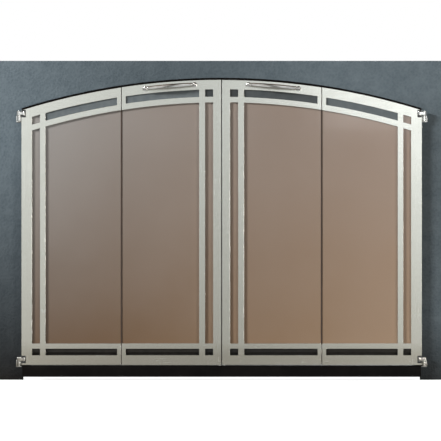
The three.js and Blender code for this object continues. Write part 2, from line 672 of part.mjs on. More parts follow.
// A turned post from the overlay's front to the bar's ball end.
function handlePost(end) {
  const base = -OVERLAY_FRONT + FIT_GAP;
  const tip = -HANDLE_END_Y - HANDLE_BALL_RADIUS - FIT_GAP;
  const [neckRadius, tipRadius] = HANDLE_POST_RADII;
  const profile = [
    [0, base],
    [HANDLE_FOOT_RADIUS, base],
    [HANDLE_FOOT_RADIUS, base + HANDLE_FOOT_HEIGHT],
    [neckRadius, base + HANDLE_NECK_RISE],
    [tipRadius, tip],
    [0, tip],
  ];
  const standing = new THREE.LatheGeometry(
    profile.map(([radius, height]) => new THREE.Vector2(radius, height)),
    ROUND_SIDES,
  );
  return standing.rotateX(Math.PI).translate((end * HANDLE_CENTRES) / 2, 0, 0);
}

// ---------------------------------------------------------------- assembly

add("surround_plate", "slate", surroundPlate());
add("arch_header", "black", archHeader());
add("bottom_sill", "black", bottomSill());
add("magnet_catch", "magnet", magnetCatch());

for (const [pair, side] of [["left", -1], ["right", 1]]) {
  add(`${pair}_jamb`, "black", jamb(side));
  add(`${pair}_lintel_clamp`, "zinc", lintelClamp(side));

  for (const [name, kind] of [["outer", outerPanel], ["inner", innerPanel]]) {
    add(`${pair}_${name}_overlay`, "nickel", overlay(side, kind));
    add(`${pair}_${name}_glass`, "glass", glass(side, kind));
    for (const place of ["top", "bottom"]) {
      const strip = retainer(side, kind, retainerEdges[place]);
      add(`${pair}_${name}_${place}_glass_retainer`, "subframe", strip);
    }
  }
  add(`${pair}_outer_subframe`, "subframe", subframe(side, outerPanel, [cornerNotch(side)]));
  add(`${pair}_inner_subframe`, "subframe", subframe(side, innerPanel, [guideHole(side)]));

  for (const place of ["top", "bottom"]) {
    add(`${pair}_${place}_hinge_post`, "chrome", hingePost(side, HINGE_LEVELS[place]));
    add(`${pair}_${place}_hinge_leaf`, "chrome", hingeLeaf(side, HINGE_LEVELS[place]));
    const fold = `${pair}_${place}_fold_hinge`;
    add(`${fold}_outer_leaf`, "zinc", foldLeaf(side, FOLD_LEVELS[place], 1, outerKnuckles));
    add(`${fold}_inner_leaf`, "zinc", foldLeaf(side, FOLD_LEVELS[place], -1, [innerKnuckle]));
    add(`${fold}_pin`, "zinc", foldPin(side, FOLD_LEVELS[place]));
  }

  add(`${pair}_guide_pin`, "zinc", guidePin(side));
  add(`${pair}_strike_plate`, "zinc", strikePlate(side));
  const handle = handleGroup(side);
  add(`${pair}_handle_bar`, "chrome", handleBar(), handle);
  add(`${pair}_handle_near_post`, "chrome", handlePost(-side), handle);
  add(`${pair}_handle_far_post`, "chrome", handlePost(side), handle);
}

export default doors;
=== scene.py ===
# Looks for the arched bifold fireplace doors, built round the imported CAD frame.
#
# Metres, +Z up, in the frame's own axes: +X to the right of someone facing the doors, +Y into the
# firebox. Flat pieces are the frame's own shapes with rounded edges; turned and bent pieces are made
# again here with smooth surfaces. Sides are -1 for the left pair of doors and 1 for the right.

import json
import math

import bmesh
import bpy
from mathutils import Matrix, Vector

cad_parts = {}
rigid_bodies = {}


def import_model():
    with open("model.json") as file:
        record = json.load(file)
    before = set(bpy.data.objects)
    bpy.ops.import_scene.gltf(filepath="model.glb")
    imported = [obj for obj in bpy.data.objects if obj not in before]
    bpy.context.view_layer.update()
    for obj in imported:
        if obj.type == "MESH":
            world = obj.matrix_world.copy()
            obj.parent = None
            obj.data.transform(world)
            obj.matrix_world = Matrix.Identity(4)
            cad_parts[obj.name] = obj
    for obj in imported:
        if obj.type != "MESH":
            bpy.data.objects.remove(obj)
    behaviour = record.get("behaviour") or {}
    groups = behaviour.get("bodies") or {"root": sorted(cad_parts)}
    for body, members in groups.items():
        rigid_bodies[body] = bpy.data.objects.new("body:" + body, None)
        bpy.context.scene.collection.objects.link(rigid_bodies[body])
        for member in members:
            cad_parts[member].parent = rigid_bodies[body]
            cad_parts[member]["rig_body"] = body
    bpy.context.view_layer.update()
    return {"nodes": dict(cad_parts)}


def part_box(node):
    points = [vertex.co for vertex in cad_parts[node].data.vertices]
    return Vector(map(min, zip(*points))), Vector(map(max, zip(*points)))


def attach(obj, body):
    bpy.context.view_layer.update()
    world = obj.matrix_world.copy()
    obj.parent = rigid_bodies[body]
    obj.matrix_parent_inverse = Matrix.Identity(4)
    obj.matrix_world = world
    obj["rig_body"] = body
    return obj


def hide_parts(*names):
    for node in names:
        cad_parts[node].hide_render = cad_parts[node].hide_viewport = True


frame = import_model()
scene = bpy.context.scene
SIDES = {"left": -1, "right": 1}
MM = 0.001

# ---------------------------------------------------------------- sizes

ARCH_CENTRE_Z = -0.9461  # every arch of the doors shares this centre
DOOR_ARCH = 1709.5 * MM  # radius of the doors' top edge
WINDOW_ARCH = 1652.5 * MM  # radius of the top edge of the overlays' windows
HEADER_INNER_ARCH = 1706 * MM
CLAMP_UNDERSIDE_ARCH = 1702.4 * MM
CENTRE_STILE = 20.25 * MM
OUTER_STILE = 27 * MM
OVERLAY_FOOT = 54.5 * MM  # height of the overlays' bottom rail, slot and bar together

WELD_DISTANCE = 1e-6
FLAT_ANGLE = math.radians(0.3)  # faces that meet at less than this are one flat face
EDGE_ANGLE = math.radians(35)  # edges sharper than this are rounded
SMOOTH_ANGLE = math.radians(40)
ROUND_SEGMENTS = 40
SMALL_SEGMENTS = 24
FACE_ON = 0.9  # a pane's front and back have normals at least this much along Y

FIT_GAP = 0.3 * MM  # between pieces that touch
JOIN_INSET = 0.02 * MM  # keeps the faces of joined solids from lying on each other
PLATE_EDGE = 0.9 * MM  # from here to CLAMP_EDGE: the radii of rounded edges
FRAME_EDGE = 0.5 * MM
JAMB_EDGE = 0.4 * MM
OVERLAY_EDGE = 0.6 * MM
SHEET_EDGE = 0.3 * MM
PANE_EDGE = 0.8 * MM
CATCH_EDGE = 0.8 * MM
CLAMP_EDGE = 0.4 * MM

SEAL_FLANGE_ARCH = 1675 * MM
SEAL_FLANGE_BELOW_ARCH = 17 * MM
SEAL_FLANGE_RISE = 13 * MM  # above the bottom of the glass
SEAL_FLANGE_OVERLAP = 2.2 * MM
MEETING_CLEARANCE = 1.2 * MM
CENTRE_SHADE_SEAL_RISE = 12 * MM  # above the bottom of the catch
FIN_STAND_OFF = 0.65 * MM
FIN_THICKNESS = 0.4 * MM
FIN_OVERLAP = 1 * MM

HINGE_RADIUS = 6 * MM
HINGE_RIM = 1.2 * MM  # radius of the barrels' rims
HINGE_POST_HEIGHT = 13 * MM
HINGE_WEB_HALF = 4 * MM
HINGE_BASE_NEAR = 5.5 * MM  # from the axis to the base's near edge
HINGE_BASE_FAR = 9.5 * MM
HINGE_BASE_DEPTH = 3 * MM
HINGE_BASE_PAST = 2 * MM  # the base runs past the barrel's ends by this much
HINGE_PIN_ROOT = 2 * MM  # the pin starts this far up inside the barrel
HINGE_PIN_RADIUS = 2.5 * MM
HINGE_PIN_RISE = 9 * MM
BORE_PAST = 2 * MM  # how far a cutting rod runs past the knuckle it bores
BOSS_REACH = 502 * MM  # centre line to the boss at the end of each moving leaf
BOSS_RADIUS = 3.3 * MM
BOSS_HEIGHT = 11 * MM
BOSS_RIM = 1.8 * MM
NECK_HEIGHT = 7 * MM
NECK_DEPTH = 2.7 * MM
# the dark sheets beside the corner hinges' necks: painted shade where the hinges leave only shade
SHADE_SHEET_WIDTH = 11 * MM
SHADE_SHEET_HALF_HEIGHT = 10 * MM
SHADE_SHEET_THICKNESS = 0.28 * MM
SHADE_SHEET_MARGIN = 1 * MM

FOLD_PIN_RADIUS = 1.2 * MM
FOLD_BORE_RADIUS = 1.5 * MM
FOLD_HEAD_RADIUS = 2.4 * MM
FOLD_HEAD_HEIGHT = 1.3 * MM
FOLD_HEAD_ROUND = 0.8 * MM
FOLD_OUTER_KNUCKLE = 9.5 * MM
KNUCKLE_RADIUS = 3 * MM
LEAF_BACK = -6.2 * MM
LEAF_THICKNESS = 1.5 * MM
LEAF_NEAR = 3.3 * MM  # from the pin's axis to the leaf's plate
LEAF_FAR = 20.8 * MM
LEAF_STRAP = 4.5 * MM  # from the pin's axis to the end of a knuckle's strap

GUIDE_RADIUS = 2.1 * MM
GUIDE_TAIL = 1 * MM  # height and radius of the tail's rounded end
GUIDE_COLLAR_RISE = 4.5 * MM
GUIDE_COLLAR_RADIUS = 4.2 * MM
GUIDE_COLLAR_ROUND = 0.4 * MM
GUIDE_COLLAR_HEIGHT = 1.2 * MM

POLE_REACH = 11 * MM  # the catch's pole strips
POLE_HALF_LENGTH = 6.5 * MM
POLE_HALF_HEIGHT = 1 * MM
POLE_INSET = 4 * MM
POLE_PROUD = 0.15 * MM
POLE_DEPTH = 2 * MM

BOLT_Y = 30 * MM
BOLT_HEAD_RADIUS = 5.8 * MM
BOLT_HEAD_HEIGHT = 3.6 * MM
BOLT_CHAMFER_RADIUS = 5.2 * MM
BOLT_CHAMFER = 0.5 * MM
BOLT_BELOW_CLAMP = 4.9 * MM
WASHER_RADIUS = 7 * MM
WASHER_THICKNESS = 1.1 * MM
WASHER_BELOW_CLAMP = 1.2 * MM
BOLT_EDGE = 0.2 * MM
CLAMP_REACH = 300 * MM

HANDLE_REACH = 131.6 * MM
HANDLE_ARCH = 1697.5 * MM
HANDLE_HALF = 63.5 * MM  # bar middle to ball centre
HANDLE_END_Y = -38 * MM
HANDLE_BOW = 6.5 * MM
HANDLE_SIDES = 28
HANDLE_STEPS = 20  # along half of the bar
BALL_RADIUS = 4.7 * MM
BALL_TO_NECK = 3.4 * MM
COLLAR_INSET = 8.5 * MM
COLLAR_RADIUS = 5 * MM
COLLAR_HALF_WIDTH = 1.2 * MM
NECK_RADIUS = 3 * MM
NECK_STATIONS = (3.45, 4.2, 6.6, 7.29)  # millimetres inwards from the ball's centre
HANDLE_FOOT_Y = 22.3 * MM  # in front of the plate
HANDLE_FOOT_RADIUS = 6.2 * MM
HANDLE_FOOT_ROUND = 0.8 * MM
POST_WAIST_RADIUS = 3.1 * MM

SCREW_RADIUS = 2.5 * MM
SCREW_HEIGHT = 1.1 * MM
FLUSH_SCREW_HEIGHT = 0.3 * MM  # on the strikes, whose gap to the catch is only 0.7 mm
SCREW_ROOT = 0.3 * MM  # the head starts this far below its seat
SOCKET_SHARE = 0.42  # of the head's radius, to the flats of the socket
LEAF_SCREW_REACH = 13 * MM  # from the fold pin's axis
LEAF_SCREW_INSET = 7 * MM
RETAINER_SCREWS = 4
RETAINER_SCREW_INSET = 12 * MM
RETAINER_SCREW_RISE = 6 * MM
RETAINER_SCREW_ARCH = 1692.5 * MM
STRIKE_SCREW_INSET = 3.2 * MM
STRIKE_SCREW_OFFSET = 6 * MM  # outwards from the strike's middle

CAMERA_PLACE = (-0.0028, -4.0, 0.4065)
CAMERA_LENS = 127.97
FLOOR_DROP = 0.2 * MM  # below the feet of the legs


def low(node):
    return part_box(node)[0]


def high(node):
    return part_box(node)[1]


def middle(node):
    return (low(node) + high(node)) / 2


def far_edge(node, side):
    """Distance from the centre line to a node's far edge."""
    return high(node).x if side > 0 else -low(node).x


def near_edge(node, side):
    """Distance from the centre line to a node's near edge."""
    return low(node).x if side > 0 else -high(node).x


def arch_height(radius, x):
    return ARCH_CENTRE_Z + math.sqrt(radius ** 2 - x ** 2)


# ---------------------------------------------------------------- materials

class Paint:
    """One procedural material on a Principled shader, with its textures in the row frame."""

    def __init__(self, name, **sockets):
        self.material = bpy.data.materials.new(name)
        self.material.use_nodes = True
        self.tree = self.material.node_tree
        self.shader = self.tree.nodes["Principled BSDF"]
        for socket, value in sockets.items():
            self.shader.inputs[socket.replace("_", " ")].default_value = value
        self.place = self.node("ShaderNodeTexCoord").outputs["Object"]

    def node(self, kind, **properties):
        made = self.tree.nodes.new(kind)
        for name, value in properties.items():
            setattr(made, name, value)
        return made

    def feed(self, socket, value):
        """Sets a socket to a number, or links it to another node's output."""
        if isinstance(value, bpy.types.NodeSocket):
            self.tree.links.new(value, socket)
        else:
            socket.default_value = value

    def to_shader(self, socket, value):
        self.feed(self.shader.inputs[socket], value)

    def stretched(self, stretch):
        mapping = self.node("ShaderNodeMapping")
        self.feed(mapping.inputs["Vector"], self.place)
        mapping.inputs["Scale"].default_value = stretch
        return mapping.outputs["Vector"]

    def noise(self, scale, detail=3.0, roughness=0.5, stretch=None):
        made = self.node("ShaderNodeTexNoise")
        self.feed(made.inputs["Vector"], self.stretched(stretch) if stretch else self.place)
        made.inputs["Scale"].default_value = scale
        made.inputs["Detail"].default_value = detail
        made.inputs["Roughness"].default_value = roughness
        return made.outputs["Fac"]

    def cells(self, scale, feature="F1"):
        made = self.node("ShaderNodeTexVoronoi", feature=feature)
        self.feed(made.inputs["Vector"], self.place)
        made.inputs["Scale"].default_value = scale
        return made.outputs["Distance"]

    def axis(self, name):
        made = self.node("ShaderNodeSeparateXYZ")
        self.feed(made.inputs["Vector"], self.place)
        return made.outputs[name]

    def math(self, operation, first, second=0.0, third=0.0):
        made = self.node("ShaderNodeMath", operation=operation)
        for socket, value in zip(made.inputs, (first, second, third)):
            self.feed(socket, value)
        return made.outputs["Value"]

    def remap(self, value, from_low, from_high, to_low, to_high):
        made = self.node("ShaderNodeMapRange")
        for socket, number in zip(made.inputs, (value, from_low, from_high, to_low, to_high)):
            self.feed(socket, number)
        return made.outputs["Result"]

    def blend(self, factor, first, second):
        made = self.node("ShaderNodeMix", data_type="RGBA")
        self.feed(made.inputs["Factor"], factor)
        self.feed(made.inputs["A"], first)
        self.feed(made.inputs["B"], second)
        return made.outputs["Result"]

    def across_and_up(self, reach, bottom, top, lower, upper):
        """A colour blended between four corners; lower and upper are (left, right) pairs."""
        across = self.remap(self.axis("X"), -reach, reach, 0.0, 1.0)
        up = self.remap(self.axis("Z"), bottom, top, 0.0, 1.0)
        return self.blend(up, self.blend(across, *lower), self.blend(across, *upper))

    def bump(self, height, distance, under=None):
        made = self.node("ShaderNodeBump")
        made.inputs["Distance"].default_value = distance
        self.feed(made.inputs["Height"], height)
        if under is not None:
            self.feed(made.inputs["Normal"], under)
        return made.outputs["Normal"]


def colour(red, green, blue):
    return (red, green, blue, 1.0)


def slate_powder_coat():
    """Hammered dark slate paint on the surround plate, with painted shade: darker towards the bottom, darker
    on the right leg below its top, and a broad darker band left of the middle.
    """
    paint = Paint("slate_powder_coat", Metallic=0.0, IOR=1.45, Specular_IOR_Level=0.16)
    broad = paint.noise(24, 5, 0.6)
    hammer = paint.cells(170)
    fine = paint.noise(420, 2, 0.6)
    mottle = paint.remap(broad, 0.3, 0.7, 0.0, 1.0)
    plain_tone = paint.blend(mottle, colour(0.078, 0.104, 0.121), colour(0.123, 0.154, 0.173))
    # painted shade: the tone the plate is darkened to towards the bottom
    plate_painted_shade_tone = paint.blend(mottle, colour(0.006, 0.005, 0.005), colour(0.011, 0.010, 0.009))
    x, z = paint.axis("X"), paint.axis("Z")
    # painted shade: how far each leg is darkened, falling towards the bottom; the right leg is also darker
    # below its top
    left_leg = paint.remap(z, 0.0, 0.6, 0.0, 1.0)
    right_leg = paint.math(
        "ADD", paint.remap(z, 0.0, 0.16, 0.12, 0.72), paint.remap(z, 0.62, 0.74, 0.0, 0.28),
    )
    on_right = paint.math("GREATER_THAN", x, 0.0)
    extra = paint.math("MULTIPLY", on_right, paint.math("SUBTRACT", right_leg, left_leg))
    height = paint.math("ADD", left_leg, extra)
    body = paint.blend(height, plate_painted_shade_tone, plain_tone)
    # a lighter tone for the hammer pits, with the same painted shade towards the bottom
    pit_tone_with_painted_shade = paint.blend(height, colour(0.009, 0.008, 0.007), colour(0.178, 0.216, 0.24))
    pits = paint.remap(hammer, 0.0, 0.75, 0.0, 0.3)
    # painted shade: a broad darker band centred left of the middle of the plate
    from_dark_stretch = paint.math("ABSOLUTE", paint.math("ADD", x, 0.12))
    shading = paint.remap(from_dark_stretch, 0.08, 0.42, 0.34, 0.0)
    pitted = paint.blend(pits, body, pit_tone_with_painted_shade)
    paint.to_shader("Base Color", paint.blend(shading, pitted, colour(0.008, 0.011, 0.013)))
    paint.to_shader("Roughness", paint.remap(fine, 0.3, 0.7, 0.42, 0.6))
    coarse_bump = paint.bump(paint.remap(hammer, 0.0, 0.8, 1.0, 0.0), 0.5 * MM)
    paint.to_shader("Normal", paint.bump(fine, 0.15 * MM, coarse_bump))
    return paint.material


def satin_black():
    """Black stove paint on the header, sill and jambs, dusty and a little rubbed."""
    paint = Paint("black_frame", Metallic=0.0, IOR=1.45, Specular_IOR_Level=0.07)
    dust = paint.remap(paint.noise(22, 4, 0.6), 0.4, 0.75, 0.0, 1.0)
    plain_tone, dusty = colour(0.003, 0.0025, 0.0025), colour(0.007, 0.006, 0.0055)
    paint.to_shader("Base Color", paint.blend(dust, plain_tone, dusty))
    grit = paint.noise(700, 2, 0.5)
    paint.to_shader("Roughness", paint.remap(grit, 0.3, 0.7, 0.38, 0.55))
    paint.to_shader("Normal", paint.bump(grit, 0.08 * MM))
    return paint.material


def brushed_nickel():
    """Satin nickel, brushed along the stiles and along the rails, with faint handling marks and painted shade
    along the bottom.
    """
    paint = Paint("brushed_nickel", Metallic=1.0)
    x = paint.math("ABSOLUTE", paint.axis("X"))
    z = paint.axis("Z")
    radius_squared = paint.math(
        "MULTIPLY_ADD", x, x, paint.math("POWER", paint.math("SUBTRACT", z, ARCH_CENTRE_Z), 2.0),
    )
    stile_near = low("right_inner_overlay").x + CENTRE_STILE
    stile_far = high("right_outer_overlay").x - OUTER_STILE
    in_arch = paint.math("GREATER_THAN", radius_squared, WINDOW_ARCH ** 2)
    in_foot = paint.math("LESS_THAN", z, low("right_outer_overlay").z + OVERLAY_FOOT)
    between = paint.math(
        "MULTIPLY", paint.math("GREATER_THAN", x, stile_near), paint.math("LESS_THAN", x, stile_far),
    )
    rail = paint.math("MULTIPLY", between, paint.math("MAXIMUM", in_arch, in_foot))
    upright = paint.noise(1.0, 3, 0.6, (900, 300, 14))
    across = paint.noise(1.0, 3, 0.6, (14, 300, 900))
    grain = paint.math("ADD", paint.math("MULTIPLY", rail, across), paint.math(
        "MULTIPLY", paint.math("SUBTRACT", 1.0, rail), upright,
    ))
    marks = paint.noise(26, 5, 0.65)
    shade = paint.math("ADD", paint.math("MULTIPLY", grain, 0.55), paint.math("MULTIPLY", marks, 0.45))
    tone = paint.remap(shade, 0.3, 0.7, 0.0, 1.0)
    plain_tone = paint.blend(tone, colour(0.70, 0.705, 0.665), colour(0.77, 0.78, 0.74))
    # painted shade: darker and browner along the bottom of the overlays
    bottom_painted_shade = paint.remap(z, 0.065, 0.10, 0.30, 0.0)
    paint.to_shader("Base Color", paint.blend(bottom_painted_shade, plain_tone, colour(0.30, 0.25, 0.18)))
    paint.to_shader("Roughness", paint.remap(shade, 0.3, 0.7, 0.28, 0.24))
    paint.to_shader("Normal", paint.bump(grain, 0.006 * MM))
    return paint.material


def slate_subframe():
    """Plain dark slate powder coat on the sub-frames and glass retainers, with painted shade: black low down,
    darker beside the centre gap and over the right pair's inner panel.
    """
    paint = Paint("slate_subframe", Metallic=0.0, IOR=1.45, Specular_IOR_Level=0.15)
    mottle = paint.remap(paint.noise(60, 3, 0.6), 0.3, 0.7, 0.0, 1.0)
    coat = paint.blend(mottle, colour(0.105, 0.122, 0.130), colour(0.135, 0.152, 0.158))
    # painted shade: the coat darkens to near black towards the bottom
    height = paint.remap(paint.axis("Z"), 0.09, 0.5, 0.0, 1.0)
    subframe_painted_shade_tone = paint.blend(mottle, colour(0.015, 0.014, 0.012), colour(0.024, 0.022, 0.019))
    coated = paint.blend(height, subframe_painted_shade_tone, coat)
    x = paint.axis("X")
    # painted shade: darker beside the centre gap, and half darker over the right pair's inner panel
    at_centre = paint.remap(paint.math("ABSOLUTE", x), 0.044, 0.048, 0.7, 0.0)
    on_right = paint.math(
        "MULTIPLY", paint.remap(x, 0.0, 0.02, 0.0, 1.0), paint.remap(x, 0.24, 0.27, 0.5, 0.0),
    )
    painted_shade_mask = paint.math("MAXIMUM", at_centre, on_right)
    paint.to_shader("Base Color", paint.blend(painted_shade_mask, coated, colour(0.016, 0.016, 0.016)))
    grit = paint.noise(500, 2, 0.6)
    paint.to_shader("Roughness", paint.remap(grit, 0.3, 0.7, 0.45, 0.6))
    paint.to_shader("Normal", paint.bump(grit, 0.1 * MM))
    return paint.material


def bronze_glass():
    """Bronze-tinted tempered glass, with painted shade and light in its colour: dark brown at the lower left,
    lighter and warmer at the lower right, greyer above; with a light haze of smoke."""
    paint = Paint("bronze_glass", Metallic=0.0, IOR=1.5, Transmission_Weight=0.25, Coat_Weight=0.3)
    paint.shader.inputs["Coat Roughness"].default_value = 0.03
    # painted shade and light: dark brown at the lower left, lighter and warmer at the lower right, greyer
    # above
    tint = paint.across_and_up(
        0.45, 0.1, 0.65,
        (colour(0.145, 0.084, 0.045), colour(0.400, 0.270, 0.172)),
        (colour(0.305, 0.283, 0.265), colour(0.330, 0.232, 0.172)),
    )
    haze = paint.remap(paint.noise(5, 3, 0.5), 0.3, 0.7, 0.0, 0.07)
    paint.to_shader("Base Color", paint.blend(haze, tint, colour(0.55, 0.50, 0.47)))
    paint.to_shader("Roughness", paint.remap(paint.noise(40, 3, 0.6), 0.3, 0.7, 0.07, 0.13))
    ripple = paint.noise(9, 1, 0.4)
    paint.to_shader("Normal", paint.bump(ripple, 0.12 * MM))
    return paint.material


def glass_edge():
    """The ground edges of the panes, which look almost black."""
    paint = Paint("glass_edge", Metallic=0.0, Roughness=0.25, IOR=1.5)
    tone = paint.noise(90, 2, 0.5)
    paint.to_shader("Base Color", paint.blend(tone, colour(0.085, 0.058, 0.045), colour(0.120, 0.084, 0.066)))
    paint.to_shader("Normal", paint.bump(paint.noise(1200, 2, 0.5), 0.05 * MM))
    return paint.material


def polished_chrome():
    """Polished chrome with hairline wiping scratches."""
    paint = Paint("polished_chrome", Metallic=1.0)
    wiped = paint.noise(1.0, 3, 0.6, (500, 120, 60))
    tone = paint.remap(paint.noise(120, 3, 0.5), 0.3, 0.7, 0.0, 1.0)
    paint.to_shader("Base Color", paint.blend(tone, colour(0.60, 0.60, 0.59), colour(0.70, 0.705, 0.70)))
    paint.to_shader("Roughness", paint.remap(wiped, 0.3, 0.7, 0.1, 0.18))
    paint.to_shader("Normal", paint.bump(wiped, 0.002 * MM))
    return paint.material


def zinc_plate():
    """Zinc-plated steel with its faint spangle."""
    paint = Paint("zinc_plate", Metallic=1.0)
    spangle = paint.cells(220)
    paint.to_shader("Base Color", paint.blend(spangle, colour(0.48, 0.49, 0.49), colour(0.66, 0.67, 0.66)))
    paint.to_shader("Roughness", paint.remap(spangle, 0.0, 0.8, 0.28, 0.46))
    paint.to_shader("Normal", paint.bump(paint.noise(600, 3, 0.6), 0.03 * MM))
    return paint.material


def black_plastic():
    """Fine-textured black plastic of the catch's housing."""
    paint = Paint("black_plastic", Metallic=0.0, IOR=1.46)
    grain = paint.noise(900, 2, 0.5)
    dark, light = colour(0.013, 0.013, 0.014), colour(0.026, 0.026, 0.027)
    paint.to_shader("Base Color", paint.blend(grain, dark, light))
    paint.to_shader("Roughness", paint.remap(grain, 0.3, 0.7, 0.5, 0.7))
    paint.to_shader("Normal", paint.bump(grain, 0.06 * MM))
    return paint.material


def silicone(name, dark, light):
    """Silicone seals between the panels, slightly powdery."""
    paint = Paint(name, Metallic=0.0, IOR=1.42)
    grain = paint.noise(300, 3, 0.6)
    paint.to_shader("Base Color", paint.blend(grain, dark, light))
    paint.to_shader("Roughness", paint.remap(grain, 0.3, 0.7, 0.5, 0.75))
    paint.to_shader("Normal", paint.bump(grain, 0.1 * MM))
    return paint.material


SLATE = slate_powder_coat()
BLACK = satin_black()
NICKEL = brushed_nickel()
SUBFRAME = slate_subframe()
GLASS = bronze_glass()
GLASS_EDGE = glass_edge()
CHROME = polished_chrome()
ZINC = zinc_plate()
PLASTIC = black_plastic()
# the centre seal's near-black colour is painted shade, standing in for the shade seen through the gap between
# the doors
CENTRE_SHADE_SEAL = silicone("centre_shade_seal", colour(0.020, 0.014, 0.011), colour(0.040, 0.028, 0.022))
FOLD_SEAL = silicone("fold_seal", colour(0.075, 0.050, 0.038), colour(0.105, 0.072, 0.056))

# ---------------------------------------------------------------- pieces

def show(name, bm, materials, body, stands_for=()):
    """Makes a finished piece of a mesh in the row frame: smooth normals, materials and its body."""
    mesh = bpy.data.meshes.new(name)
    bm.to_mesh(mesh)
    bm.free()
    for material in materials:
        mesh.materials.append(material)
    mesh.shade_smooth()
    mesh.set_sharp_from_angle(angle=SMOOTH_ANGLE)
    piece = bpy.data.objects.new(name, mesh)
    scene.collection.objects.link(piece)
    normals = piece.modifiers.new("normals", "WEIGHTED_NORMAL")
    normals.keep_sharp = True
    normals.weight = 100
    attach(piece, body)
    if stands_for:
        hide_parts(*stands_for)
    return piece


def rounded(bm, radius, segments=2):
    """Rounds a mesh's sharp edges."""
    sharp = [e for e in bm.edges if e.is_manifold and e.calc_face_angle() > EDGE_ANGLE]
    bmesh.ops.bevel(
        bm, geom=sharp, offset=radius, segments=segments, profile=0.5, affect="EDGES", clamp_overlap=True,
    )
    return bm


def flat_copy(node):
    """A CAD node's mesh with its triangles merged back into whole flat faces."""
    bm = bmesh.new()
    bm.from_mesh(frame["nodes"][node].data)
    bmesh.ops.remove_doubles(bm, verts=bm.verts, dist=WELD_DISTANCE)
    bmesh.ops.dissolve_limit(bm, angle_limit=FLAT_ANGLE, verts=bm.verts, edges=bm.edges)
    return bm


def body_of(node):
    return frame["nodes"][node]["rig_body"]


def dress(node, material, edge):
    """Shows a CAD node with rounded edges and its finish."""
    bm = rounded(flat_copy(node), edge)
    return show(f"{node}_shown", bm, [material], body_of(node), [node])


def ring_of(bm, count, point):
    """Vertices round a closed ring, placed by a function of the angle."""
    return [bm.verts.new(point(2 * math.pi * i / count)) for i in range(count)]


def join_rings(bm, rings):
    """Faces between rings that have the same number of vertices."""
    for first, second in zip(rings, rings[1:]):
        for i in range(len(first)):
            j = (i + 1) % len(first)
            bm.faces.new((first[i], first[j], second[j], second[i]))


def turned(profile, segments=ROUND_SEGMENTS, place=Matrix.Identity(4)):
    """A closed turned form about Z from (radius, height) pairs that start and end on the axis."""
    bm = bmesh.new()
    rings = []
    for radius, height in profile:
        if radius == 0:
            rings.append([bm.verts.new((0, 0, height))])
            continue
        rings.append(ring_of(bm, segments, lambda a: (radius * math.cos(a), radius * math.sin(a), height)))
    for lower, upper in zip(rings, rings[1:]):
        for i in range(segments):
            j = (i + 1) % segments
            corners = [
                lower[i % len(lower)], lower[j % len(lower)], upper[j % len(upper)], upper[i % len(upper)],
            ]
            face = list(dict.fromkeys(corners))
            if len(face) > 2:
                bm.faces.new(face)
    bmesh.ops.recalc_face_normals(bm, faces=bm.faces)
    bm.transform(place)
    return bm


def fillet(centre_radius, centre_height, radius, start, end, steps=4):
    """Points round an arc in a turned profile, from one angle to another in degrees."""
    points = []
    for i in range(steps + 1):
        angle = math.radians(start + (end - start) * i / steps)
        points.append((centre_radius + radius * math.cos(angle), centre_height + radius * math.sin(angle)))
    return points


def rod(radius, bottom, top, edge, x=0.0, y=0.0):
    """An upright rod with rounded rims."""
    profile = [
        (0, bottom),
        *fillet(radius - edge, bottom + edge, edge, -90, 0),
        *fillet(radius - edge, top - edge, edge, 0, 90),
        (0, top),
    ]
    return turned(profile, place=Matrix.Translation((x, y, 0)))


def box(corner, opposite, edge=0.0, segments=2):
    """A block between two corners, with rounded edges."""
    a, b = Vector(corner), Vector(opposite)
    bm = bmesh.new()
    bmesh.ops.create_cube(bm, size=1.0)
    size = Vector((abs(b.x - a.x), abs(b.y - a.y), abs(b.z - a.z)))
    bm.transform(Matrix.Translation((a + b) / 2) @ Matrix.Diagonal((*size, 1)))
    return rounded(bm, edge, segments) if edge else bm


def gather(meshes):
    """Several closed meshes in one, without joining their surfaces."""
    whole = bmesh.new()
    for bm in meshes:
        part = bpy.data.meshes.new("part")
        bm.to_mesh(part)
        bm.free()
        whole.from_mesh(part)
        bpy.data.meshes.remove(part)
    return whole


def temporary(bm):
    mesh = bpy.data.meshes.new("temporary")
    bm.to_mesh(mesh)
    bm.free()
    thing = bpy.data.objects.new("temporary", mesh)
    scene.collection.objects.link(thing)
    return thing


def union(meshes, bores=()):
    """Several closed meshes joined into one surface, less the bores."""
    things = [temporary(bm) for bm in meshes]
    holes = [temporary(bm) for bm in bores]
    steps = [("UNION", thing) for thing in things[1:]] + [("DIFFERENCE", hole) for hole in holes]
    for operation, extra in steps:
        join = things[0].modifiers.new("join", "BOOLEAN")
        join.operation = operation
        join.solver = "EXACT"
        join.object = extra
    evaluated = things[0].evaluated_get(bpy.context.evaluated_depsgraph_get())
    bm = bmesh.new()
    bm.from_mesh(evaluated.to_mesh())
    evaluated.to_mesh_clear()
    for thing in things + holes:
        mesh = thing.data
        bpy.data.objects.remove(thing)
        bpy.data.meshes.remove(mesh)
    return bm


# ---------------------------------------------------------------- frame and panels

def dress_frame():
    dress("surround_plate", SLATE, PLATE_EDGE)
    dress("arch_header", BLACK, FRAME_EDGE)
    dress("bottom_sill", BLACK, FRAME_EDGE)
    for pair in SIDES:
        dress(f"{pair}_jamb", BLACK, JAMB_EDGE)


def dress_panels():
    for pair in SIDES:
        for kind in ("outer", "inner"):
            name = f"{pair}_{kind}"
            dress(f"{name}_overlay", NICKEL, OVERLAY_EDGE)
            dress(f"{name}_subframe", SUBFRAME, SHEET_EDGE)
            pane(f"{name}_glass")
            for place in ("top", "bottom"):
                dress(f"{name}_{place}_glass_retainer", SUBFRAME, SHEET_EDGE)
        dress(f"{pair}_strike_plate", ZINC, SHEET_EDGE)


def pane(node):
    """A glass pane with ground arrises and dark edges."""
    bm = rounded(flat_copy(node), PANE_EDGE, 1)
    for face in bm.faces:
        face.material_index = 0 if abs(face.normal.y) > FACE_ON else 1
    show(f"{node}_shown", bm, [GLASS, GLASS_EDGE], body_of(node), [node])


